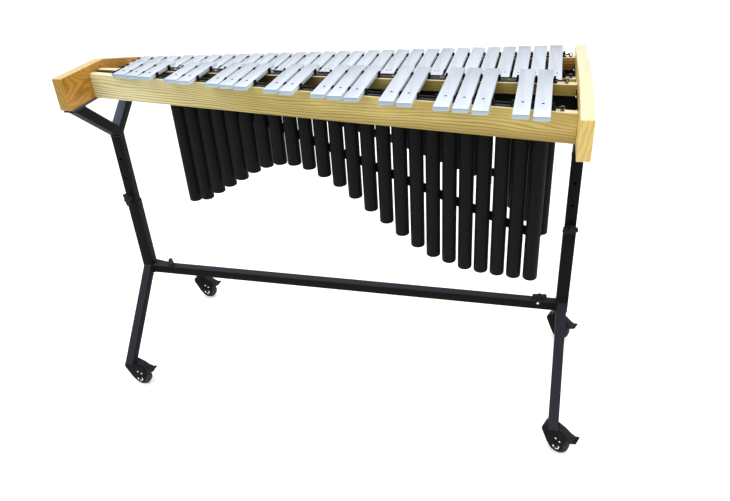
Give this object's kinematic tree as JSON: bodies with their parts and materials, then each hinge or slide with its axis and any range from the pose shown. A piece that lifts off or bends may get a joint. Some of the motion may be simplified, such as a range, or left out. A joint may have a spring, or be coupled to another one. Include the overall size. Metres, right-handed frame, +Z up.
{
  "type": "keyboard percussion instrument on rolling stand",
  "caption": "Four-octave metal-bar keyboard with two rows of tube resonators between wooden rails, on a height-adjustable inverted-Y stand with braked casters.",
  "frame": {"origin": "on the floor, at the middle of the outline in x and y", "axes": "+X along the keyboard towards the low notes, +Y towards the player, +Z up"},
  "size_m": [1.346, 0.688, 0.963],
  "materials": {
    "powder_black": "satin black powder coat, faint texture",
    "resonator_black": "satin black lacquer on aluminium tube",
    "bar_aluminium": "satin anodised, pale blue-silver, bright bevels",
    "pine": "clear satin varnish on pale yellow softwood with long olive-brown streaks",
    "cord_black": "black felt and dull black post plastic",
    "bright_steel": "bright plated wire",
    "black_plastic": "moulded black nylon",
    "wheel_rubber": "dark grey tread on light grey hub"
  },
  "bodies": {
    "stand": {"left_leg_frame": "powder_black", "right_leg_frame": "powder_black", "crossbar": "powder_black"},
    "upper_frame": {"left_fork": "powder_black", "right_fork": "powder_black", "high_end_block": "pine", "low_end_block": "pine", "accidental_outer_rail": "pine", "accidental_inner_rail": "pine", "natural_inner_rail": "pine", "natural_outer_rail": "pine", "accidental_resonators": "resonator_black", "natural_resonators": "resonator_black", "accidental_bank_strap": "resonator_black", "natural_bank_strap": "resonator_black", "accidental_outer_posts": "cord_black", "accidental_inner_posts": "cord_black", "natural_inner_posts": "cord_black", "natural_outer_posts": "cord_black", "accidental_bars_1": "bar_aluminium", "accidental_bars_2": "bar_aluminium", "accidental_bars_3": "bar_aluminium", "accidental_bars_4": "bar_aluminium", "accidental_bars_5": "bar_aluminium", "accidental_bars_6": "bar_aluminium", "accidental_bars_7": "bar_aluminium", "accidental_bars_8": "bar_aluminium", "natural_bars_1": "bar_aluminium", "natural_bars_2": "bar_aluminium", "natural_bars_3": "bar_aluminium", "natural_bars_4": "bar_aluminium", "natural_bars_5": "bar_aluminium", "natural_bars_6": "bar_aluminium", "natural_bars_7": "bar_aluminium", "natural_bars_8": "bar_aluminium", "cord_hook_accidental_outer_low": "bright_steel", "cord_hook_accidental_outer_high": "bright_steel", "cord_hook_accidental_inner_low": "bright_steel", "cord_hook_accidental_inner_high": "bright_steel", "cord_hook_natural_inner_low": "bright_steel", "cord_hook_natural_inner_high": "bright_steel", "cord_hook_natural_outer_low": "bright_steel", "cord_hook_natural_outer_high": "bright_steel"},
    "caster_front_left": {"caster_fork_front_left": "powder_black"},
    "wheel_front_left": {"caster_wheel_front_left": "wheel_rubber"},
    "pedal_front_left": {"brake_pedal_front_left": "black_plastic"},
    "caster_rear_left": {"caster_fork_rear_left": "powder_black"},
    "wheel_rear_left": {"caster_wheel_rear_left": "wheel_rubber"},
    "pedal_rear_left": {"brake_pedal_rear_left": "black_plastic"},
    "caster_front_right": {"caster_fork_front_right": "powder_black"},
    "wheel_front_right": {"caster_wheel_front_right": "wheel_rubber"},
    "pedal_front_right": {"brake_pedal_front_right": "black_plastic"},
    "caster_rear_right": {"caster_fork_rear_right": "powder_black"},
    "wheel_rear_right": {"caster_wheel_rear_right": "wheel_rubber"},
    "pedal_rear_right": {"brake_pedal_rear_right": "black_plastic"},
    "height_knob_left": {"height_knob_left": "black_plastic"},
    "height_knob_right": {"height_knob_right": "black_plastic"},
    "crossbar_knob_left": {"crossbar_knob_left": "black_plastic"},
    "crossbar_knob_right": {"crossbar_knob_right": "black_plastic"}
  },
  "joints": [
    {"name": "height_adjust", "type": "slide", "parent": "stand", "child": "upper_frame", "axis": [0, 0, 1], "range_m": [-0.06, 0.12]},
    {"name": "caster_swivel_front_left", "type": "hinge", "parent": "stand", "child": "caster_front_left", "pos_m": [-0.649, -0.205, 0.089], "axis": [0, 0, 1], "continuous": true},
    {"name": "wheel_spin_front_left", "type": "hinge", "parent": "caster_front_left", "child": "wheel_front_left", "pos_m": [-0.629, -0.205, 0.028], "axis": [0, 1, 0], "continuous": true},
    {"name": "brake_front_left", "type": "hinge", "parent": "caster_front_left", "child": "pedal_front_left", "pos_m": [-0.621, -0.205, 0.067], "axis": [0, 1, 0], "range_deg": [0, 18]},
    {"name": "caster_swivel_rear_left", "type": "hinge", "parent": "stand", "child": "caster_rear_left", "pos_m": [-0.649, 0.273, 0.089], "axis": [0, 0, 1], "continuous": true},
    {"name": "wheel_spin_rear_left", "type": "hinge", "parent": "caster_rear_left", "child": "wheel_rear_left", "pos_m": [-0.629, 0.273, 0.028], "axis": [0, 1, 0], "continuous": true},
    {"name": "brake_rear_left", "type": "hinge", "parent": "caster_rear_left", "child": "pedal_rear_left", "pos_m": [-0.621, 0.273, 0.067], "axis": [0, 1, 0], "range_deg": [0, 18]},
    {"name": "caster_swivel_front_right", "type": "hinge", "parent": "stand", "child": "caster_front_right", "pos_m": [0.6035, -0.235, 0.089], "axis": [0, 0, 1], "continuous": true},
    {"name": "wheel_spin_front_right", "type": "hinge", "parent": "caster_front_right", "child": "wheel_front_right", "pos_m": [0.62204, -0.24249, 0.028], "axis": [0.3746, 0.9272, 0], "continuous": true},
    {"name": "brake_front_right", "type": "hinge", "parent": "caster_front_right", "child": "pedal_front_right", "pos_m": [0.62946, -0.24549, 0.067], "axis": [0.3746, 0.9272, 0], "range_deg": [0, 18]},
    {"name": "caster_swivel_rear_right", "type": "hinge", "parent": "stand", "child": "caster_rear_right", "pos_m": [0.6035, 0.254, 0.089], "axis": [0, 0, 1], "continuous": true},
    {"name": "wheel_spin_rear_right", "type": "hinge", "parent": "caster_rear_right", "child": "wheel_rear_right", "pos_m": [0.62204, 0.24651, 0.028], "axis": [0.3746, 0.9272, 0], "continuous": true},
    {"name": "brake_rear_right", "type": "hinge", "parent": "caster_rear_right", "child": "pedal_rear_right", "pos_m": [0.62946, 0.24351, 0.067], "axis": [0.3746, 0.9272, 0], "range_deg": [0, 18]},
    {"name": "height_knob_turn_left", "type": "hinge", "parent": "stand", "child": "height_knob_left", "pos_m": [-0.649, -0.0168, 0.552], "axis": [0, -1, 0], "range_deg": [0, 720]},
    {"name": "height_knob_turn_right", "type": "hinge", "parent": "stand", "child": "height_knob_right", "pos_m": [0.6035, -0.0168, 0.552], "axis": [0, -1, 0], "range_deg": [0, 720]},
    {"name": "crossbar_knob_turn_left", "type": "hinge", "parent": "stand", "child": "crossbar_knob_left", "pos_m": [-0.575, -0.001, 0.3133], "axis": [0, 0, 1], "range_deg": [0, 720]},
    {"name": "crossbar_knob_turn_right", "type": "hinge", "parent": "stand", "child": "crossbar_knob_right", "pos_m": [0.544, -0.001, 0.3133], "axis": [0, 0, 1], "range_deg": [0, 720]}
  ]
}
